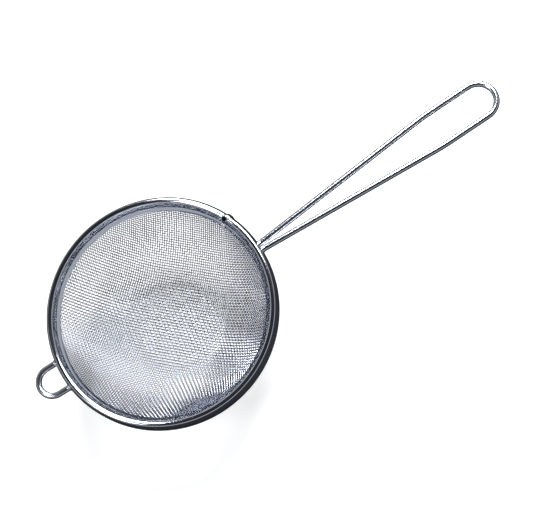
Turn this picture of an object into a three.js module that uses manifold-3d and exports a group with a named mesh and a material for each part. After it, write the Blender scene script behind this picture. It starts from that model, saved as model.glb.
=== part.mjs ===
// Tea strainer: a woven wire bowl held in a folded steel rim, with a looped wire handle and a rest hook.
// Millimetres, +Z up, +X towards the handle. The bowl stands on its flat bottom at z = 0, open side up.
import * as THREE from 'three';
import * as BufferGeometryUtils from 'three/addons/utils/BufferGeometryUtils.js';
import Module from 'manifold-3d';

const { Manifold, Mesh: ManifoldMesh } = await initManifold();

// ---- driving dimensions -------------------------------------------------------------------------
const ROUND_SEGMENTS = 64;
const GAP = 0.3; // clearance left where the real pieces are pressed or welded together

const HEIGHT = 25;
const RIM_RADIUS = 35;
const RIM_HEIGHT = 5.5;
const STRIP = 0.35; // thickness of the rim's sheet strip
const BEAD_RADIUS = 1.3;
const RIM_CORNER_RADIUS = 0.7;
const INNER_WALL_BOTTOM = new THREE.Vector2(32.3, HEIGHT - 2.6);
const FLANGE_END = new THREE.Vector2(31.2, HEIGHT - 3.8);
const LIP_END_RADIUS = 32.25;

const SEAM_AZIMUTH = 21.7; // degrees from the handle
const SEAM_GAP = 0.9;
const LAP_LENGTH = 2.6;
const JOGGLE_LENGTH = 1.2;
const LAP_CLEARANCE = 0.05;

const CLOTH = 0.5; // about two crossed wires deep
const BOTTOM_FLAT_RADIUS = 11;
const BOTTOM_BEND_RADIUS = 9;
const WALL_FOOT_RADIUS = 16;
const WALL_TOP_SLOPE = 66; // degrees from level
const WALL_TOP_RADIUS = 32.02;
const CLOTH_TUCK = new THREE.Vector2(33.02, HEIGHT - 3.25);
const CLOTH_EDGE = new THREE.Vector2(33.42, HEIGHT - 1.7);

const WIRE_RADIUS = 0.95;
const WIRE_HALF_SIDES = 5; // segments round half of a wire's section
const WIRE_HEIGHT = HEIGHT - 3.9;
const WELD_RADIUS = RIM_RADIUS + GAP; // where the wires' ends stop, short of the rim's wall

const HANDLE_TIP = 118.8;
const HANDLE_ROOT_HALF_WIDTH = 1.1;
const HANDLE_END_HALF_WIDTH = 5.55;
const HANDLE_SHOULDER = 96.4; // where the spreading legs would meet the parallel ones
const HANDLE_SHOULDER_RADIUS = 70;
const HANDLE_STEPS = 80;

const HOOK_REACH = 43.65;
const HOOK_HALF_WIDTH = 4.32;
const HOOK_TURN = -1.7; // degrees from straight behind the handle
const HOOK_STEPS = 30;

// Arc steps of the rim's and the cloth's sections.
const RIM_CORNER_STEPS = 3;
const BEAD_STEPS = 8;
const CLOTH_BEND_STEPS = 4;
const CLOTH_WALL_STEPS = 9;

// How far the prisms that cut the rim stand clear of it.
const CUT_INNER_MARGIN = 6;
const CUT_OUTER_MARGIN = 3;
const CUT_HEIGHT_MARGIN = 2;

// ---- materials ----------------------------------------------------------------------------------
const polished = (name) => new THREE.MeshStandardMaterial({
  name,
  color: 0xc9cbce,
  roughness: 0.16,
  metalness: 1,
});
const rimSteel = polished('rim_steel');
const handleSteel = polished('handle_steel');
const hookSteel = polished('hook_steel');
const clothSteel = new THREE.MeshStandardMaterial({
  name: 'cloth_steel',
  color: 0xb4b6b9,
  roughness: 0.34,
  metalness: 1,
});

// ---- solid modelling helpers --------------------------------------------------------------------
async function initManifold() {
  const library = await Module();
  library.setup();
  return library;
}

function toSolid(geometry) {
  const bare = new THREE.BufferGeometry();
  bare.setAttribute('position', geometry.getAttribute('position').clone());
  if (geometry.index) bare.setIndex(geometry.index.clone());
  const merged = BufferGeometryUtils.mergeVertices(bare, 1e-4);
  const mesh = new ManifoldMesh({
    numProp: 3,
    vertProperties: new Float32Array(merged.getAttribute('position').array),
    triVerts: new Uint32Array(merged.index.array),
  });
  mesh.merge();
  return new Manifold(mesh);
}

function toGeometry(solid) {
  const mesh = solid.getMesh();
  const geometry = new THREE.BufferGeometry();
  geometry.setAttribute('position', new THREE.BufferAttribute(new Float32Array(mesh.vertProperties), 3));
  geometry.setIndex(new THREE.BufferAttribute(new Uint32Array(mesh.triVerts), 1));
  geometry.computeVertexNormals();
  return geometry;
}

// A closed outline of (radius, height) points, turned about the Z axis.
function turned(outline) {
  const points = [...outline, outline[0]];
  const geometry = new THREE.LatheGeometry(points, ROUND_SEGMENTS);
  geometry.rotateX(Math.PI / 2);
  return geometry;
}

function arcPoints(centre, radius, startDegrees, endDegrees, steps) {
  const points = [];
  for (let i = 0; i <= steps; i += 1) {
    const angle = THREE.MathUtils.degToRad(THREE.MathUtils.lerp(startDegrees, endDegrees, i / steps));
    points.push(new THREE.Vector2(
      centre.x + radius * Math.cos(angle),
      centre.y + radius * Math.sin(angle),
    ));
  }
  return points;
}

// The unit normal on the left of the way from the point before to the point after.
function leftNormal(points, index) {
  const before = points[Math.max(index - 1, 0)];
  const after = points[Math.min(index + 1, points.length - 1)];
  const along = after.clone().sub(before).normalize();
  return new THREE.Vector2(-along.y, along.x);
}

// A strip's section: the line moved to its left by one distance, and back along it by another.
function stripSection(line, nearOffset, farOffset) {
  const moved = (offset) => line.map((point, index) => (
    point.clone().addScaledVector(leftNormal(line, index), offset)
  ));
  return [...moved(nearOffset), ...moved(farOffset).reverse()];
}

// A prism that covers one stretch of the rim, between two distances along it from the seam.
function rimStretch(startDistance, endDistance) {
  const azimuth = (distance) => THREE.MathUtils.degToRad(SEAM_AZIMUTH) + distance / RIM_RADIUS;
  const inner = RIM_RADIUS - CUT_INNER_MARGIN;
  const outer = RIM_RADIUS + CUT_OUTER_MARGIN;
  const corner = (radius, distance) => [
    radius * Math.cos(azimuth(distance)),
    radius * Math.sin(azimuth(distance)),
  ];
  const shape = new THREE.Shape();
  shape.moveTo(...corner(inner, startDistance));
  shape.lineTo(...corner(outer, startDistance));
  shape.lineTo(...corner(outer, endDistance));
  shape.lineTo(...corner(inner, endDistance));
  shape.closePath();
  const depth = RIM_HEIGHT + 2 * CUT_HEIGHT_MARGIN;
  const geometry = new THREE.ExtrudeGeometry(shape, { depth, bevelEnabled: false });
  geometry.translate(0, 0, HEIGHT - RIM_HEIGHT - CUT_HEIGHT_MARGIN);
  return toSolid(geometry);
}

// A level path drawn in plan, lifted to the wires' height.
class LevelCurve extends THREE.Curve {
  constructor(plan, height) {
    super();
    this.plan = plan;
    this.height = height;
  }

  getPoint(t, target = new THREE.Vector3()) {
    const point = this.plan.getPoint(t);
    return target.set(point.x, point.y, this.height);
  }
}

function wireAlong(plan, steps) {
  const section = new THREE.Shape();
  section.absarc(0, 0, WIRE_RADIUS, 0, 2 * Math.PI);
  return new THREE.ExtrudeGeometry(section, {
    steps,
    curveSegments: WIRE_HALF_SIDES,
    bevelEnabled: false,
    extrudePath: new LevelCurve(plan, WIRE_HEIGHT),
  });
}

// ---- rim band -----------------------------------------------------------------------------------
// The strip's visible face, from the lip under the rim, round the outer wall and over the bead.
function rimOuterLine() {
  const bottom = HEIGHT - RIM_HEIGHT;
  const corner = new THREE.Vector2(RIM_RADIUS - RIM_CORNER_RADIUS, bottom + RIM_CORNER_RADIUS);
  const bead = new THREE.Vector2(RIM_RADIUS - BEAD_RADIUS, HEIGHT - BEAD_RADIUS);
  return [
    new THREE.Vector2(LIP_END_RADIUS, bottom),
    ...arcPoints(corner, RIM_CORNER_RADIUS, -90, 0, RIM_CORNER_STEPS),
    ...arcPoints(bead, BEAD_RADIUS, 0, 180, BEAD_STEPS),
  ];
}

function rimBand() {
  const wholeLine = [...rimOuterLine(), INNER_WALL_BOTTOM, FLANGE_END];
  const ring = toSolid(turned(stripSection(wholeLine, 0, STRIP)));
  const slit = rimStretch(-SEAM_GAP / 2, SEAM_GAP / 2);
  const openRing = ring.subtract(slit);

  // One end of the strip steps out by its own thickness and laps over the other end.
  const firstWallPoint = 1;
  const pastBeadTop = RIM_CORNER_STEPS + BEAD_STEPS;
  const lapLine = rimOuterLine().slice(firstWallPoint, pastBeadTop);
  const lapFace = -(STRIP + LAP_CLEARANCE);
  const joggleRing = toSolid(turned(stripSection(lapLine, lapFace, STRIP / 2)));
  const lapRing = toSolid(turned(stripSection(lapLine, lapFace, -LAP_CLEARANCE)));
  const joggle = joggleRing.intersect(rimStretch(SEAM_GAP / 2, SEAM_GAP / 2 + JOGGLE_LENGTH));
  const lap = lapRing.intersect(rimStretch(-LAP_LENGTH, SEAM_GAP / 2 + JOGGLE_LENGTH / 2));
  return toGeometry(openRing.add(joggle).add(lap));
}

// ---- mesh bowl ----------------------------------------------------------------------------------
// The cloth's underside, from the axis outwards and up, and on into the hollow of the rim.
function clothLine() {
  const bendCentre = new THREE.Vector2(BOTTOM_FLAT_RADIUS, BOTTOM_BEND_RADIUS);
  const footSlope = THREE.MathUtils.radToDeg(
    Math.asin((WALL_FOOT_RADIUS - BOTTOM_FLAT_RADIUS) / BOTTOM_BEND_RADIUS),
  );
  const bend = arcPoints(bendCentre, BOTTOM_BEND_RADIUS, -90, footSlope - 90, CLOTH_BEND_STEPS);
  const foot = bend[bend.length - 1];
  const sine = (degrees) => Math.sin(THREE.MathUtils.degToRad(degrees));
  const cosine = (degrees) => Math.cos(THREE.MathUtils.degToRad(degrees));
  const wallRadius = (WALL_TOP_RADIUS - foot.x) / (sine(WALL_TOP_SLOPE) - sine(footSlope));
  const wallCentre = new THREE.Vector2(
    foot.x - wallRadius * sine(footSlope),
    foot.y + wallRadius * cosine(footSlope),
  );
  const wall = arcPoints(wallCentre, wallRadius, footSlope - 90, WALL_TOP_SLOPE - 90, CLOTH_WALL_STEPS);
  return [new THREE.Vector2(0, 0), ...bend, ...wall.slice(1)];
}

function meshBowl() {
  const line = clothLine();
  const tucked = [...line, CLOTH_TUCK, CLOTH_EDGE];
  const outline = stripSection(tucked, 0, CLOTH);
  outline[outline.length - 1].x = 0;
  return new THREE.LatheGeometry(outline, ROUND_SEGMENTS).rotateX(Math.PI / 2);
}

// ---- wire handle --------------------------------------------------------------------------------
// The legs start side by side at the rim's wall, spread to a shoulder, and run parallel to the loop.
function handleWire() {
  const rise = Math.atan2(
    HANDLE_END_HALF_WIDTH - HANDLE_ROOT_HALF_WIDTH,
    HANDLE_SHOULDER - WELD_RADIUS,
  );
  const parallelStart = HANDLE_SHOULDER + HANDLE_SHOULDER_RADIUS * Math.tan(rise / 2);
  const shoulderY = HANDLE_END_HALF_WIDTH - HANDLE_SHOULDER_RADIUS;
  const loopX = HANDLE_TIP - WIRE_RADIUS - HANDLE_END_HALF_WIDTH;
  const quarter = Math.PI / 2;
  const plan = new THREE.Path();
  plan.moveTo(WELD_RADIUS, HANDLE_ROOT_HALF_WIDTH);
  plan.absarc(parallelStart, shoulderY, HANDLE_SHOULDER_RADIUS, quarter + rise, quarter, true);
  plan.absarc(loopX, 0, HANDLE_END_HALF_WIDTH, quarter, -quarter, true);
  plan.absarc(parallelStart, -shoulderY, HANDLE_SHOULDER_RADIUS, -quarter, -quarter - rise, true);
  plan.lineTo(WELD_RADIUS, -HANDLE_ROOT_HALF_WIDTH);
  return wireAlong(plan, HANDLE_STEPS);
}

// ---- rest hook ----------------------------------------------------------------------------------
function restHook() {
  const loopX = -(HOOK_REACH - WIRE_RADIUS - HOOK_HALF_WIDTH);
  const legStart = -Math.sqrt(WELD_RADIUS ** 2 - (HOOK_HALF_WIDTH - WIRE_RADIUS) ** 2);
  const plan = new THREE.Path();
  plan.moveTo(legStart, HOOK_HALF_WIDTH);
  plan.absarc(loopX, 0, HOOK_HALF_WIDTH, Math.PI / 2, 1.5 * Math.PI, false);
  plan.lineTo(legStart, -HOOK_HALF_WIDTH);
  return wireAlong(plan, HOOK_STEPS).rotateZ(THREE.MathUtils.degToRad(HOOK_TURN));
}

// ---- assembly -----------------------------------------------------------------------------------
const strainer = new THREE.Group();
const pieces = [
  ['mesh_bowl', meshBowl(), clothSteel],
  ['rim_band', rimBand(), rimSteel],
  ['handle_wire', handleWire(), handleSteel],
  ['rest_hook', restHook(), hookSteel],
];
for (const [name, geometry, material] of pieces) {
  const mesh = new THREE.Mesh(geometry, material);
  mesh.name = name;
  strainer.add(mesh);
}

export default strainer;
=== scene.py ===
"""A stainless steel tea strainer: woven wire cloth, folded rim strip, wire handle and rest hook."""

import math

import bmesh
import bpy
import numpy as np
from mathutils import Matrix, Vector


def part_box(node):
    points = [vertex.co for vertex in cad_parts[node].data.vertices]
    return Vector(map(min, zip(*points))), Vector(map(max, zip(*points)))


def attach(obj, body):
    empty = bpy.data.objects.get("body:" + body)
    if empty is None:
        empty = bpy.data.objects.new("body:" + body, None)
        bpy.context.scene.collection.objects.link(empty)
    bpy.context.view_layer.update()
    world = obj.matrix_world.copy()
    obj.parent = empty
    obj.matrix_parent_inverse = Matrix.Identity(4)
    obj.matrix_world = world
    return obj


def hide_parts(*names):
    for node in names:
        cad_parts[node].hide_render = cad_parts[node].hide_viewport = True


bl_info = {
    "name": "Tea strainer",
    "version": (1, 0, 0),
    "blender": (4, 5, 0),
    "location": "3D View > Sidebar > Strainer",
    "description": "Builds a woven wire tea strainer round its packed frame",
    "category": "Object",
}

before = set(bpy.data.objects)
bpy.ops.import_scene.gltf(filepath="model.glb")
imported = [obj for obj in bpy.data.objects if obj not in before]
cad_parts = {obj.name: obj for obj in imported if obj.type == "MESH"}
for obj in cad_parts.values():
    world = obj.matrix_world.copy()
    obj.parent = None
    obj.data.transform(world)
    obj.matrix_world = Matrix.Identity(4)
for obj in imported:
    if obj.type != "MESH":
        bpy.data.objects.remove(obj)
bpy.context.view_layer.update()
BODY = "root"
MM = 0.001

RIM_LOW, RIM_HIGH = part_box("rim_band")
BOWL_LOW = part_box("mesh_bowl")[0]
HANDLE_LOW, HANDLE_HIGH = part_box("handle_wire")

# The side away from the seam gives the rim's own radius. At the seam the strip lies double, and the lap
# stands out from the strip by this much, above and below.
CAD_LAP_STEP = 0.4 * MM
RIM_RADIUS = -RIM_LOW[1]
RIM_BOTTOM = RIM_LOW[2] + CAD_LAP_STEP
RIM_TOP = RIM_HIGH[2] - CAD_LAP_STEP
WIRE_RADIUS = (HANDLE_HIGH[2] - HANDLE_LOW[2]) / 2
WIRE_HEIGHT = (HANDLE_HIGH[2] + HANDLE_LOW[2]) / 2
HANDLE_END_HALF_WIDTH = HANDLE_HIGH[1] - WIRE_RADIUS
# The cloth's edge is caught inside the rim. Its net is worked out a little further, so that every wire
# reaches the edge before it is cut off.
CLOTH_EDGE_RADIUS = RIM_RADIUS - 2.25 * MM
NET_RADIUS = CLOTH_EDGE_RADIUS + 1.5 * MM


# ---- sizes and colours that a user would change ------------------------------------------------
class StrainerRim(bpy.types.PropertyGroup):
    """The folded strip that grips the cloth."""

    strip: bpy.props.FloatProperty(
        name="Strip", description="Thickness of the sheet strip",
        default=0.35 * MM, unit="LENGTH", precision=5,
    )
    lap_step: bpy.props.FloatProperty(
        name="Lap step", description="How far the lapped end stands out from the strip under it",
        default=CAD_LAP_STEP, unit="LENGTH", precision=5,
    )
    seam_azimuth: bpy.props.FloatProperty(
        name="Seam azimuth", description="Where the strip's ends meet, from the handle",
        default=math.radians(22.3), subtype="ANGLE",
    )
    seam_gap: bpy.props.FloatProperty(
        name="Seam gap", description="Gap between the strip's ends on the inner side",
        default=1.5 * MM, unit="LENGTH", precision=5,
    )
    lap_length: bpy.props.FloatProperty(
        name="Lap length", description="How far the outer end reaches past its inner half",
        default=2.1 * MM, unit="LENGTH", precision=5,
    )


class StrainerCloth(bpy.types.PropertyGroup):
    """The woven wire bowl."""

    wire: bpy.props.FloatProperty(
        name="Wire", description="Diameter of the cloth's wires",
        default=0.29 * MM, unit="LENGTH", precision=5,
    )
    warp_spacing: bpy.props.FloatProperty(
        name="Warp spacing", description="Distance between warp wires before pressing",
        default=0.72 * MM, unit="LENGTH", precision=5,
    )
    weft_spacing: bpy.props.FloatProperty(
        name="Weft spacing", description="Distance between weft wires before pressing",
        default=0.88 * MM, unit="LENGTH", precision=5,
    )
    warp_azimuth: bpy.props.FloatProperty(
        name="Warp azimuth", description="Direction of the warp at the bowl's bottom, from the handle",
        default=math.radians(39.5), subtype="ANGLE",
    )
    weft_azimuth: bpy.props.FloatProperty(
        name="Weft azimuth", description="Direction of the weft at the bowl's bottom, from the handle",
        default=math.radians(-44.5), subtype="ANGLE",
    )
    flat_radius: bpy.props.FloatProperty(
        name="Flat radius", description="Radius of the bowl's flat bottom",
        default=11 * MM, unit="LENGTH", precision=4,
    )
    bend_radius: bpy.props.FloatProperty(
        name="Bend radius", description="Radius of the bend from the bottom to the wall, under the cloth",
        default=9 * MM, unit="LENGTH", precision=4,
    )
    wall_foot_radius: bpy.props.FloatProperty(
        name="Wall foot radius", description="Distance from the axis at which the wall starts",
        default=16 * MM, unit="LENGTH", precision=4,
    )
    wall_top_radius: bpy.props.FloatProperty(
        name="Wall top radius", description="Distance from the axis at which the wall meets the rim",
        default=32.02 * MM, unit="LENGTH", precision=4,
    )
    wall_top_slope: bpy.props.FloatProperty(
        name="Wall top slope", description="Slope of the wall where it meets the rim",
        default=math.radians(66), subtype="ANGLE",
    )


class StrainerFinish(bpy.types.PropertyGroup):
    """The steels' colours."""

    polished: bpy.props.StringProperty(
        name="Polished steel", description="sRGB colour of the polished rim and wires", default="#D0D4DC",
    )
    drawn: bpy.props.StringProperty(
        name="Drawn wire", description="sRGB colour of the cloth's bright drawn wire", default="#BCC0CA",
    )
    floor: bpy.props.StringProperty(
        name="Floor", description="sRGB colour of the floor", default="#DADADA",
    )


# ---- small helpers ------------------------------------------------------------------------------
def linear(hex_colour):
    """An sRGB hex colour as the linear RGBA that a shader takes."""
    channels = [int(hex_colour[i : i + 2], 16) / 255 for i in (1, 3, 5)]
    return [c / 12.92 if c <= 0.04045 else ((c + 0.055) / 1.055) ** 2.4 for c in channels] + [1]


def add_node(tree, kind, inputs=(), **settings):
    """Adds a node, sets its settings, and links or sets its inputs."""
    node = tree.nodes.new(kind)
    for name, value in settings.items():
        setattr(node, name, value)
    for key, value in dict(inputs).items():
        if isinstance(value, bpy.types.NodeSocket):
            tree.links.new(value, node.inputs[key])
        else:
            node.inputs[key].default_value = value
    return node


def arc(centre, radius, start, end, steps):
    """Points on an arc between two angles in degrees, both ends included."""
    angles = np.radians(np.linspace(start, end, steps + 1))
    return [(centre[0] + radius * math.cos(a), centre[1] + radius * math.sin(a)) for a in angles]


def rounded_line(corners, steps=8):
    """A line through (x, y, bend radius) corners, with each bend as an arc of that radius."""
    points = []
    for i, (x, y, radius) in enumerate(corners):
        corner = Vector((x, y))
        if radius == 0:
            points.append(corner)
            continue
        back = (Vector(corners[i - 1][:2]) - corner).normalized()
        ahead = (Vector(corners[i + 1][:2]) - corner).normalized()
        half_angle = back.angle(ahead) / 2
        centre = corner + (back + ahead).normalized() * radius / math.sin(half_angle)
        start = corner + back * radius / math.tan(half_angle) - centre
        turn = start.angle_signed(corner + ahead * radius / math.tan(half_angle) - centre)
        for k in range(steps + 1):
            points.append(centre + Matrix.Rotation(-turn * k / steps, 2) @ start)
    return points


def smoothstep(t):
    t = min(max(t, 0), 1)
    return t * t * (3 - 2 * t)


def finish_piece(obj, material, node):
    """Gives a piece its material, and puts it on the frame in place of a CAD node."""
    obj.data.materials.clear()
    obj.data.materials.append(material)
    for polygon in obj.data.polygons:
        polygon.use_smooth = True
    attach(obj, BODY)
    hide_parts(node)


def linked_object(name, data):
    obj = bpy.data.objects.new(name, data)
    bpy.context.scene.collection.objects.link(obj)
    return obj


def as_mesh(obj):
    """The object with its modifiers or bevel made into its mesh."""
    bpy.context.view_layer.update()
    evaluated = obj.evaluated_get(bpy.context.evaluated_depsgraph_get())
    mesh = bpy.data.meshes.new_from_object(evaluated)
    name = obj.name
    bpy.data.objects.remove(obj)
    mesh.name = name
    return linked_object(name, mesh)


def wire_piece(name, lines, radius, sides_level, tapers=None):
    """Round wires along lines of points, as one mesh with closed ends."""
    curve = bpy.data.curves.new(name + "_path", "CURVE")
    curve.dimensions = "3D"
    curve.twist_mode = "MINIMUM"
    curve.bevel_depth = radius
    curve.bevel_resolution = sides_level
    curve.use_fill_caps = True
    for i, line in enumerate(lines):
        spline = curve.splines.new("POLY")
        spline.points.add(len(line) - 1)
        coordinates = np.ones((len(line), 4), np.float32)
        coordinates[:, :3] = line
        spline.points.foreach_set("co", coordinates.ravel())
        if tapers is not None:
            spline.points.foreach_set("radius", np.asarray(tapers[i], np.float32))
    return as_mesh(linked_object(name, curve))


# ---- materials ----------------------------------------------------------------------------------
ROLLING_LINE_SPACING = 0.55 * MM
DENT_WIDTH = 0.6 * MM
SCORED_PATCH_WIDTH = 2.5 * MM


def polished_strip(colour):
    """Stainless strip, cold rolled and polished: mirror-like, with faint lines in the rolling direction."""
    material = bpy.data.materials.new("polished_rolled_stainless")
    material.use_nodes = True
    tree = material.node_tree
    shader = tree.nodes["Principled BSDF"]
    shader.inputs["Base Color"].default_value = linear(colour)
    shader.inputs["Metallic"].default_value = 1
    shader.inputs["Roughness"].default_value = 0.12
    place = add_node(tree, "ShaderNodeTexCoord")
    split = add_node(tree, "ShaderNodeSeparateXYZ", {"Vector": place.outputs["Object"]})
    level = add_node(tree, "ShaderNodeCombineXYZ", {"X": split.outputs["X"], "Y": split.outputs["Y"]})
    radius = add_node(tree, "ShaderNodeVectorMath", {0: level.outputs[0]}, operation="LENGTH")
    # Every line runs round the rim, so the pattern changes only with radius and height. Real rolling lines
    # are finer than 0.05 mm, and these are drawn 0.55 mm apart so that they show.
    section = add_node(tree, "ShaderNodeCombineXYZ", {"X": radius.outputs["Value"], "Y": split.outputs["Z"]})
    lines = add_node(
        tree, "ShaderNodeTexNoise",
        {"Vector": section.outputs[0], "Scale": 1 / ROLLING_LINE_SPACING, "Detail": 3, "Roughness": 0.6},
    )
    bump = add_node(
        tree, "ShaderNodeBump",
        {"Height": lines.outputs["Fac"], "Strength": 0.12, "Distance": 0.03 * MM},
    )
    tree.links.new(bump.outputs["Normal"], shader.inputs["Normal"])
    return material


def polished_wire(colour):
    """Stainless wire, drawn and then tumbled bright: soft streaks along it and small dents from handling."""
    material = bpy.data.materials.new("polished_stainless_wire")
    material.use_nodes = True
    tree = material.node_tree
    shader = tree.nodes["Principled BSDF"]
    shader.inputs["Base Color"].default_value = linear(colour)
    shader.inputs["Metallic"].default_value = 1
    shader.inputs["Roughness"].default_value = 0.2
    place = add_node(tree, "ShaderNodeTexCoord")
    # The wires run mostly along X, so the pattern is drawn out that way into streaks.
    stretched = add_node(
        tree, "ShaderNodeMapping", {"Vector": place.outputs["Object"], "Scale": (0.08, 1, 1)},
    )
    dents = add_node(
        tree, "ShaderNodeTexNoise",
        {"Vector": stretched.outputs[0], "Scale": 1 / DENT_WIDTH, "Detail": 2, "Roughness": 0.5},
    )
    bump = add_node(
        tree, "ShaderNodeBump",
        {"Height": dents.outputs["Fac"], "Strength": 0.25, "Distance": 0.04 * MM},
    )
    tree.links.new(bump.outputs["Normal"], shader.inputs["Normal"])
    return material


def bright_cloth_wire(colour):
    """Stainless wire, drawn fine and woven bright: a soft sheen, a little duller where the die scored it."""
    material = bpy.data.materials.new("bright_drawn_cloth_wire")
    material.use_nodes = True
    tree = material.node_tree
    shader = tree.nodes["Principled BSDF"]
    shader.inputs["Base Color"].default_value = linear(colour)
    shader.inputs["Metallic"].default_value = 1
    place = add_node(tree, "ShaderNodeTexCoord")
    patches = add_node(
        tree, "ShaderNodeTexNoise",
        {"Vector": place.outputs["Object"], "Scale": 1 / SCORED_PATCH_WIDTH, "Detail": 3},
    )
    roughness = add_node(
        tree, "ShaderNodeMapRange",
        {"Value": patches.outputs["Fac"], "To Min": 0.1, "To Max": 0.18},
    )
    tree.links.new(roughness.outputs["Result"], shader.inputs["Roughness"])
    return material


def pale_floor(colour):
    """Matt white acrylic, lit from below. The metal sees it dim, so that its dark lines stay dark."""
    material = bpy.data.materials.new("white_acrylic_table")
    material.use_nodes = True
    tree = material.node_tree
    shader = tree.nodes["Principled BSDF"]
    shader.inputs["Base Color"].default_value = linear(colour)
    shader.inputs["Roughness"].default_value = 0.8
    shader.inputs["Emission Color"].default_value = (1, 1, 1, 1)
    shader.inputs["Emission Strength"].default_value = 0.56
    dim = add_node(tree, "ShaderNodeBsdfDiffuse", {"Color": linear("#303134")})
    path = add_node(tree, "ShaderNodeLightPath")
    mix = add_node(
        tree, "ShaderNodeMixShader",
        {0: path.outputs["Is Camera Ray"], 1: dim.outputs[0], 2: shader.outputs[0]},
    )
    tree.links.new(mix.outputs[0], tree.nodes["Material Output"].inputs["Surface"])
    return material


# ---- woven cloth --------------------------------------------------------------------------------
class BowlSurface:
    """The middle of the cloth: a flat bottom, a bend, a wall on one arc, and a straight tuck into the rim."""

    TUCK_SLOPE = math.tan(math.radians(51))
    MERIDIAN_STEP = 0.02 * MM

    def __init__(self, cloth):
        half_cloth = cloth.wire  # two crossed wires are two wires deep
        self.flat = cloth.flat_radius
        self.floor = BOWL_LOW[2] + half_cloth
        self.bend_height = BOWL_LOW[2] + cloth.bend_radius
        self.bend = cloth.bend_radius - half_cloth
        foot_slope = math.asin((cloth.wall_foot_radius - cloth.flat_radius) / cloth.bend_radius)
        rise = math.sin(cloth.wall_top_slope) - math.sin(foot_slope)
        wall = (cloth.wall_top_radius - cloth.wall_foot_radius) / rise
        self.centre_radius = cloth.wall_foot_radius - wall * math.sin(foot_slope)
        foot_height = self.bend_height - cloth.bend_radius * math.cos(foot_slope)
        self.centre_height = foot_height + wall * math.cos(foot_slope)
        self.wall = wall - half_cloth
        self.foot = self.flat + self.bend * math.sin(foot_slope)
        self.top = self.centre_radius + self.wall * math.sin(cloth.wall_top_slope)

    def height_and_slope(self, radius):
        if radius <= self.flat:
            return self.floor, 0.0
        if radius <= self.foot:
            drop = math.sqrt(self.bend**2 - (radius - self.flat) ** 2)
            return self.bend_height - drop, (radius - self.flat) / drop
        inside = min(radius, self.top)
        drop = math.sqrt(self.wall**2 - (inside - self.centre_radius) ** 2)
        height = self.centre_height - drop
        if radius <= self.top:
            return height, (radius - self.centre_radius) / drop
        return height + (radius - self.top) * self.TUCK_SLOPE, self.TUCK_SLOPE

    def point(self, x, y):
        return x, y, self.height_and_slope(math.hypot(x, y))[0]

    def normal(self, x, y):
        radius = math.hypot(x, y)
        slope = self.height_and_slope(radius)[1]
        if radius == 0:
            return np.array((0.0, 0.0, 1.0))
        normal = np.array((-slope * x / radius, -slope * y / radius, 1.0))
        return normal / np.linalg.norm(normal)

    def along_meridian(self, length):
        """The radius reached after going that far up the surface from the axis."""
        radius, gone = 0.0, 0.0
        while gone < length:
            step = min(self.MERIDIAN_STEP, length - gone)
            radius += step / math.hypot(1, self.height_and_slope(radius)[1])
            gone += step
        return radius


# The crossings are found by Newton's method, and both limits are in square metres.
NEWTON_ROUNDS = 12
FLAT_DETERMINANT = 1e-12
LARGEST_ERROR = 1e-12
LONGEST_WIRE_HALF = 50 * MM
FEWEST_WIRE_CROSSINGS = 4
FEWEST_NET_CROSSINGS = 1000


def crossing(surface, near_a, near_b, step_a, step_b, guess):
    """The point on the surface at one distance from a first crossing and another from a second."""
    x, y = guess
    for _ in range(NEWTON_ROUNDS):
        px, py, pz = surface.point(x, y)
        radius = math.hypot(x, y)
        slope = surface.height_and_slope(radius)[1]
        zx, zy = slope * x / radius, slope * y / radius
        rows = []
        errors = []
        for near, step in ((near_a, step_a), (near_b, step_b)):
            dx, dy, dz = px - near[0], py - near[1], pz - near[2]
            errors.append(dx * dx + dy * dy + dz * dz - step * step)
            rows.append((2 * (dx + dz * zx), 2 * (dy + dz * zy)))
        determinant = rows[0][0] * rows[1][1] - rows[0][1] * rows[1][0]
        if abs(determinant) < FLAT_DETERMINANT:
            return None
        x -= (errors[0] * rows[1][1] - errors[1] * rows[0][1]) / determinant
        y -= (errors[1] * rows[0][0] - errors[0] * rows[1][0]) / determinant
    if max(abs(e) for e in errors) > LARGEST_ERROR or math.hypot(x, y) > NET_RADIUS:
        return None
    return surface.point(x, y)


def fishnet(surface, cloth):
    """Every crossing of the pressed cloth, whose wires keep their length while their angles change."""
    net = {(0, 0): surface.point(0, 0)}
    for azimuth, spacing, index in (
        (cloth.warp_azimuth, cloth.weft_spacing, lambda n: (n, 0)),
        (cloth.weft_azimuth, cloth.warp_spacing, lambda n: (0, n)),
    ):
        for n in range(1, int(LONGEST_WIRE_HALF / spacing)):
            radius = surface.along_meridian(n * spacing)
            if radius > NET_RADIUS:
                break
            for sign in (1, -1):
                x, y = sign * radius * math.cos(azimuth), sign * radius * math.sin(azimuth)
                net[index(sign * n)] = surface.point(x, y)
    count = int(LONGEST_WIRE_HALF / cloth.warp_spacing)
    for sign_i in (1, -1):
        for sign_j in (1, -1):
            for i in range(1, count):
                for j in range(1, count):
                    back_i = net.get((sign_i * (i - 1), sign_j * j))
                    back_j = net.get((sign_i * i, sign_j * (j - 1)))
                    both = net.get((sign_i * (i - 1), sign_j * (j - 1)))
                    if not (back_i and back_j and both):
                        continue
                    guess = (back_i[0] + back_j[0] - both[0], back_i[1] + back_j[1] - both[1])
                    found = crossing(
                        surface, back_i, back_j, cloth.weft_spacing, cloth.warp_spacing, guess,
                    )
                    if found:
                        net[(sign_i * i, sign_j * j)] = found
    return net


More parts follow.
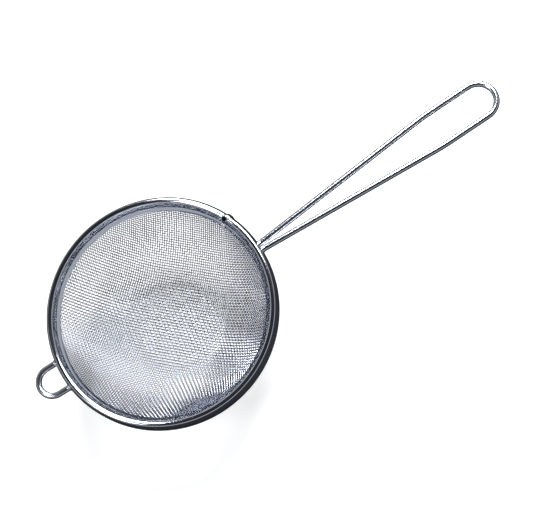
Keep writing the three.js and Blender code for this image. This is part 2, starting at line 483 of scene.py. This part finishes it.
def woven_line(surface, crossings, parity, crimp, samples=3):
    """One wire through its crossings, over one and under the next, cut off inside the rim."""
    nodes = np.array(crossings)
    padded = np.vstack((2 * nodes[0] - nodes[1], nodes, 2 * nodes[-1] - nodes[-2]))
    line = []
    for k in range(1, len(padded) - 2):
        before, start, end, after = padded[k - 1 : k + 3]
        for s in range(samples):
            t = s / samples
            # A Catmull-Rom curve through the crossings.
            place = 0.5 * (
                2 * start + (end - before) * t
                + (2 * before - 5 * start + 4 * end - after) * t**2
                + (3 * start - before - 3 * end + after) * t**3
            )
            if math.hypot(place[0], place[1]) > CLOTH_EDGE_RADIUS:
                continue
            lift = crimp * math.cos(math.pi * t) * (1 if (k + parity) % 2 else -1)
            line.append(place + lift * surface.normal(place[0], place[1]))
    return line


def cloth_lines(surface, net, along, crimp):
    """The wires of one family, keyed by their number. along is 0 for the warp and 1 for the weft."""
    wires = {}
    for index in net:
        wires.setdefault(index[1 - along], []).append(index)
    lines = {}
    for number, indices in wires.items():
        indices.sort()
        if len(indices) < FEWEST_WIRE_CROSSINGS:
            continue
        parity = indices[0][along] + number + along
        line = woven_line(surface, [net[i] for i in indices], parity, crimp)
        if len(line) >= FEWEST_WIRE_CROSSINGS:
            lines[number] = line
    return lines


class STRAINER_OT_cloth(bpy.types.Operator):
    """Weave the wire cloth over the bowl's shape"""

    bl_idname = "strainer.cloth"
    bl_label = "Woven cloth"

    SIDES_LEVEL = 1

    def execute(self, context):
        cloth = context.scene.strainer_cloth
        surface = BowlSurface(cloth)
        net = fishnet(surface, cloth)
        if len(net) < FEWEST_NET_CROSSINGS:
            raise RuntimeError("the cloth's net did not spread over the bowl")
        material = bright_cloth_wire(context.scene.strainer_finish.drawn)
        for along, family in enumerate(("warp", "weft")):
            lines = cloth_lines(surface, net, along, cloth.wire / 2)
            halves = {
                "near": [line for number, line in sorted(lines.items()) if number < 0],
                "far": [line for number, line in sorted(lines.items()) if number >= 0],
            }
            for half, wires in halves.items():
                piece = wire_piece(f"cloth_{family}_{half}", wires, cloth.wire / 2, self.SIDES_LEVEL)
                finish_piece(piece, material, "mesh_bowl")
        return {"FINISHED"}


# ---- rim ----------------------------------------------------------------------------------------
# The strip's outer face over the wall's foot. Each row is a corner: how far inside the rim's radius it
# lies, how far below the rim's top, and the radius of its bend.
RIM_UPPER_CORNERS = (
    (0, 1.9 * MM, 2.2 * MM),  # the wall leans into the bead
    (0.75 * MM, 0, 0.85 * MM),  # the bead's crown
    (2.2 * MM, 0.35 * MM, 1.1 * MM),  # the bead's inner side
    (2.72 * MM, 1.9 * MM, 2.0 * MM),  # the steep inner wall
    (2.85 * MM, 2.9 * MM, 0.3 * MM),  # the crease over the flange
    (3.85 * MM, 3.75 * MM, 0),  # the flange's edge on the cloth
)
RIM_LIP = 2.75 * MM
RIM_FOOT_BEND = 0.7 * MM


def rim_face_line():
    """The strip's outer face in (radius, height), from the lip underneath round to the flange."""
    corners = [
        (RIM_RADIUS - RIM_LIP, RIM_BOTTOM, 0),
        (RIM_RADIUS, RIM_BOTTOM, RIM_FOOT_BEND),
    ]
    corners += [(RIM_RADIUS - inside, RIM_TOP - below, bend) for inside, below, bend in RIM_UPPER_CORNERS]
    return rounded_line(corners, steps=6)


class STRAINER_OT_rim(bpy.types.Operator):
    """Fold the rim strip round the cloth, with its lap seam"""

    bl_idname = "strainer.rim"
    bl_label = "Rim strip"

    STEPS = 360
    JOGGLE = 0.9 * MM
    # The end under the lap runs on through most of the seam's gap, and the lap lies just clear of it.
    UNDER_LENGTH = 0.8
    UNDER_STEPS = 4
    LAP_STEPS = 12
    LAP_PUSH = 0.95
    SHEARED_EDGE = 0.05 * MM
    SHEARED_ANGLE = math.radians(50)
    OUTER_HALF = 1.6 * MM
    BEAD_CORE = Vector((RIM_RADIUS - 1.4 * MM, RIM_TOP - 1.5 * MM))

    def execute(self, context):
        rim = context.scene.strainer_rim
        bm = bmesh.new()
        turn = Matrix.Rotation(rim.seam_azimuth + rim.seam_gap / 2 / RIM_RADIUS, 3, "Z")
        verts = [bm.verts.new(turn @ Vector((r, 0, z))) for r, z in rim_face_line()]
        edges = [bm.edges.new(pair) for pair in zip(verts, verts[1:])]
        spun = bmesh.ops.spin(
            bm, geom=verts + edges, cent=(0, 0, 0), axis=(0, 0, 1), dvec=(0, 0, 0),
            angle=2 * math.pi - rim.seam_gap / RIM_RADIUS, steps=self.STEPS, use_merge=False,
        )
        under = [e for e in spun["geom_last"] if isinstance(e, bmesh.types.BMEdge)]
        self.extend(bm, self.outer(under), rim.seam_gap * self.UNDER_LENGTH, self.UNDER_STEPS, 0)
        self.extend(bm, self.outer(edges), -rim.lap_length, self.LAP_STEPS, rim.lap_step * self.LAP_PUSH)
        bmesh.ops.recalc_face_normals(bm, faces=bm.faces)
        mesh = bpy.data.meshes.new("rim_strip")
        bm.to_mesh(mesh)
        bm.free()
        obj = linked_object("rim_strip", mesh)
        wall = obj.modifiers.new("strip", "SOLIDIFY")
        wall.thickness = rim.strip
        wall.offset = -1
        wall.use_even_offset = True
        edge = obj.modifiers.new("sheared_edges", "BEVEL")
        edge.width = self.SHEARED_EDGE
        edge.segments = 2
        edge.limit_method = "ANGLE"
        edge.angle_limit = self.SHEARED_ANGLE
        obj = as_mesh(obj)
        material = polished_strip(context.scene.strainer_finish.polished)
        finish_piece(obj, material, "rim_band")
        return {"FINISHED"}

    def outer(self, edges):
        """The edges of the section's outer half, from the wall's foot to the top of the bead."""
        inner_limit = RIM_RADIUS - self.OUTER_HALF
        return [
            e for e in edges
            if min(v.co.xy.length for v in e.verts) > inner_limit
            and min(v.co.z for v in e.verts) > RIM_BOTTOM
        ]

    def extend(self, bm, edges, length, steps, push):
        """Carries the strip on round the rim in small steps, stepping outwards by push over the joggle."""
        angle = length / RIM_RADIUS / steps
        moved = 0
        for k in range(steps):
            verts = list(dict.fromkeys(v for e in edges for v in e.verts))
            spun = bmesh.ops.spin(
                bm, geom=verts + edges, cent=(0, 0, 0), axis=(0, 0, 1), dvec=(0, 0, 0),
                angle=angle, steps=1, use_merge=False,
            )
            edges = [e for e in spun["geom_last"] if isinstance(e, bmesh.types.BMEdge)]
            out = push * smoothstep(abs(length) * (k + 1) / steps / self.JOGGLE)
            for vert in dict.fromkeys(v for e in edges for v in e.verts):
                radius = vert.co.xy.length
                above = max(vert.co.z - self.BEAD_CORE.y, 0)
                away = Vector((radius - self.BEAD_CORE.x, above)).normalized()
                shift = vert.co.xy.normalized() * away.x * (out - moved)
                vert.co += Vector((shift.x, shift.y, away.y * (out - moved)))
            moved = out


# ---- handle and hook ----------------------------------------------------------------------------
# How far a wire's end is melted into the rim's wall, how far the melted collar reaches along the wire,
# and how much thicker than the wire it is.
WELD_DEPTH = 0.25 * MM
WELD_COLLAR = 0.7 * MM
WELD_SWELL = 0.22
BEND_STEPS = 24


def level_line(points):
    return [(x, y, WIRE_HEIGHT) for x, y in points]


def weld_swell(line):
    """The wire's own thickness, growing into a small collar at both welded ends."""
    points = np.array(line)
    gone = np.concatenate(([0], np.cumsum(np.linalg.norm(np.diff(points, axis=0), axis=1))))
    nearest_end = np.minimum(gone, gone[-1] - gone)
    return [1 + WELD_SWELL * (1 - smoothstep((d - WELD_DEPTH) / WELD_COLLAR)) for d in nearest_end]


def straight(start, end, steps):
    """Evenly spaced points from one place to another, both included."""
    return [tuple(Vector(start).lerp(Vector(end), k / steps)) for k in range(steps + 1)]


def loop_line(half):
    """A symmetric wire, given its +Y half from the rim to the middle of the loop."""
    return half + [(x, -y) for x, y in reversed(half[:-1])]


def weld_start(half_width):
    """A leg's end inside the rim's wall."""
    return math.sqrt(RIM_RADIUS**2 - half_width**2) - WELD_DEPTH, half_width


class STRAINER_OT_handle(bpy.types.Operator):
    """Bend the handle's wire and weld it to the rim"""

    bl_idname = "strainer.handle"
    bl_label = "Wire handle"

    ROOT_HALF_WIDTH = 0.97 * MM
    SHOULDER = 96.4 * MM
    SHOULDER_RADIUS = 70 * MM
    SHOULDER_STEPS = 12
    LEG_STEPS = 240
    SIDES_LEVEL = 6

    def execute(self, context):
        rise = math.atan2(HANDLE_END_HALF_WIDTH - self.ROOT_HALF_WIDTH, self.SHOULDER - RIM_RADIUS)
        parallel_start = self.SHOULDER + self.SHOULDER_RADIUS * math.tan(rise / 2)
        shoulder = arc(
            (parallel_start, HANDLE_END_HALF_WIDTH - self.SHOULDER_RADIUS), self.SHOULDER_RADIUS,
            90 + math.degrees(rise), 90, self.SHOULDER_STEPS,
        )
        loop_x = HANDLE_HIGH[0] - WIRE_RADIUS - HANDLE_END_HALF_WIDTH
        loop = arc((loop_x, 0), HANDLE_END_HALF_WIDTH, 90, 0, BEND_STEPS)
        leg = straight(weld_start(self.ROOT_HALF_WIDTH), shoulder[0], self.LEG_STEPS)
        line = level_line(loop_line(leg + shoulder[1:] + loop))
        obj = wire_piece("handle_loop", [line], WIRE_RADIUS, self.SIDES_LEVEL, [weld_swell(line)])
        material = polished_wire(context.scene.strainer_finish.polished)
        finish_piece(obj, material, "handle_wire")
        return {"FINISHED"}


class STRAINER_OT_hook(bpy.types.Operator):
    """Bend the rest hook's wire and weld it to the rim"""

    bl_idname = "strainer.hook"
    bl_label = "Rest hook"

    HALF_WIDTH = 4.32 * MM
    REACH = 43.65 * MM
    TURN = math.radians(178.3)
    LEG_STEPS = 24
    SIDES_LEVEL = 6

    def execute(self, context):
        loop_x = self.REACH - WIRE_RADIUS - self.HALF_WIDTH
        loop = arc((loop_x, 0), self.HALF_WIDTH, 90, 0, BEND_STEPS)
        leg = straight(weld_start(self.HALF_WIDTH), loop[0], self.LEG_STEPS)
        turn = Matrix.Rotation(self.TURN, 2)
        line = level_line([tuple(turn @ Vector(point)) for point in loop_line(leg + loop[1:])])
        obj = wire_piece("hook_loop", [line], WIRE_RADIUS, self.SIDES_LEVEL, [weld_swell(line)])
        material = polished_wire(context.scene.strainer_finish.polished)
        finish_piece(obj, material, "rest_hook")
        return {"FINISHED"}


# ---- stage --------------------------------------------------------------------------------------
class STRAINER_OT_stage(bpy.types.Operator):
    """Set the floor, the light and the camera"""

    bl_idname = "strainer.stage"
    bl_label = "Stage"

    # The camera leans this far from straight above, towards this azimuth, and this azimuth is up in view.
    VIEW_TILT = math.radians(17)
    VIEW_AZIMUTH = math.radians(-89.6)
    VIEW_UP_AZIMUTH = math.radians(57.4)
    VIEW_DISTANCE = 0.45
    # How wide the view is at the rim, and how far its middle lies right of the rim's and above it.
    VIEW_WIDTH = 0.1563
    BESIDE_RIM = (0.0315, 0.0157)
    SENSOR_WIDTH = 36
    HORIZON = "#797C81"
    WALL = "#BCBFC5"
    CEILING = "#27282A"
    BACKDROP = "#F3F3F3"
    FLOOR_RADIUS = 1.5
    FLOOR_SEGMENTS = 96

    def execute(self, context):
        self.floor(context)
        self.lights()
        self.world(context)
        self.camera(context)
        context.scene.view_settings.view_transform = "Standard"
        return {"FINISHED"}

    def floor(self, context):
        bm = bmesh.new()
        bmesh.ops.create_circle(bm, cap_ends=True, segments=self.FLOOR_SEGMENTS, radius=self.FLOOR_RADIUS)
        mesh = bpy.data.meshes.new("floor")
        bm.to_mesh(mesh)
        bm.free()
        mesh.materials.append(pale_floor(context.scene.strainer_finish.floor))
        linked_object("floor", mesh)

    # Name, azimuth and elevation in degrees, distance, width and height in metres, face's brightness.
    BOXES = (
        ("key_box", 50, 46, 0.8, 0.52, 0.38, 15.0),
        ("back_box", 180, 60, 0.8, 0.2, 0.2, 9.0),
    )

    def lights(self):
        for name, azimuth, elevation, distance, width, height, brightness in self.BOXES:
            lamp = bpy.data.lights.new(name, "AREA")
            lamp.shape = "RECTANGLE"
            lamp.size = width
            lamp.size_y = height
            lamp.energy = brightness * 4 * width * height
            obj = linked_object(name, lamp)
            turn, lift = math.radians(azimuth), math.radians(elevation)
            level = Vector((math.cos(turn), math.sin(turn), 0)) * math.cos(lift)
            away = level + Vector((0, 0, math.sin(lift)))
            obj.location = away * distance
            obj.rotation_euler = away.to_track_quat("Z", "Y").to_euler()

    def world(self, context):
        """Pale walls under a dark ceiling, and a plain backdrop where the camera sees past the floor."""
        world = bpy.data.worlds.new("studio")
        context.scene.world = world
        world.use_nodes = True
        tree = world.node_tree
        place = add_node(tree, "ShaderNodeTexCoord")
        split = add_node(tree, "ShaderNodeSeparateXYZ", {"Vector": place.outputs["Generated"]})
        ramp = add_node(tree, "ShaderNodeValToRGB", {"Fac": split.outputs["Z"]})
        stops = ramp.color_ramp.elements
        stops[0].color = linear(self.HORIZON)
        stops[1].color = linear(self.CEILING)
        for position, colour in ((0.15, self.WALL), (0.5, self.WALL), (0.57, self.CEILING)):
            stops.new(position).color = linear(colour)
        path = add_node(tree, "ShaderNodeLightPath")
        seen = add_node(
            tree, "ShaderNodeMix",
            {0: path.outputs["Is Camera Ray"], 6: ramp.outputs["Color"], 7: linear(self.BACKDROP)},
            data_type="RGBA",
        )
        tree.links.new(seen.outputs[2], tree.nodes["Background"].inputs["Color"])

    def camera(self, context):
        tilt = self.VIEW_TILT
        back = Vector((
            math.sin(tilt) * math.cos(self.VIEW_AZIMUTH),
            math.sin(tilt) * math.sin(self.VIEW_AZIMUTH),
            math.cos(tilt),
        ))
        level_up = Vector((math.cos(self.VIEW_UP_AZIMUTH), math.sin(self.VIEW_UP_AZIMUTH), 0))
        up = (level_up - level_up.dot(back) * back).normalized()
        right = up.cross(back)
        rim_top = Vector((0, 0, RIM_HIGH[2]))
        target = rim_top + right * self.BESIDE_RIM[0] + up * self.BESIDE_RIM[1]
        lens = bpy.data.cameras.new("camera")
        lens.sensor_width = self.SENSOR_WIDTH
        lens.lens = lens.sensor_width * self.VIEW_DISTANCE / self.VIEW_WIDTH
        camera = linked_object("camera", lens)
        rotation = Matrix((right, up, back)).transposed()
        camera.matrix_world = Matrix.Translation(target + back * self.VIEW_DISTANCE) @ rotation.to_4x4()
        context.scene.camera = camera


# ---- panel and registration ---------------------------------------------------------------------
OPERATORS = (STRAINER_OT_cloth, STRAINER_OT_rim, STRAINER_OT_handle, STRAINER_OT_hook, STRAINER_OT_stage)
GROUPS = {"strainer_rim": StrainerRim, "strainer_cloth": StrainerCloth, "strainer_finish": StrainerFinish}


class STRAINER_PT_panel(bpy.types.Panel):
    """The strainer's pieces and their sizes"""

    bl_idname = "STRAINER_PT_panel"
    bl_label = "Strainer"
    bl_space_type = "VIEW_3D"
    bl_region_type = "UI"
    bl_category = "Strainer"

    def draw(self, context):
        for operator in OPERATORS:
            self.layout.operator(operator.bl_idname)
        for name in GROUPS:
            group = getattr(context.scene, name)
            box = self.layout.box()
            for key in group.__annotations__:
                box.prop(group, key)


def register():
    for group in GROUPS.values():
        bpy.utils.register_class(group)
    for name, group in GROUPS.items():
        setattr(bpy.types.Scene, name, bpy.props.PointerProperty(type=group))
    for operator in OPERATORS:
        bpy.utils.register_class(operator)
    bpy.utils.register_class(STRAINER_PT_panel)


def unregister():
    bpy.utils.unregister_class(STRAINER_PT_panel)
    for operator in reversed(OPERATORS):
        bpy.utils.unregister_class(operator)
    for name, group in GROUPS.items():
        delattr(bpy.types.Scene, name)
        bpy.utils.unregister_class(group)


def main():
    register()
    bpy.ops.strainer.cloth()
    bpy.ops.strainer.rim()
    bpy.ops.strainer.handle()
    bpy.ops.strainer.hook()
    bpy.ops.strainer.stage()


if __name__ == "__main__":
    main()
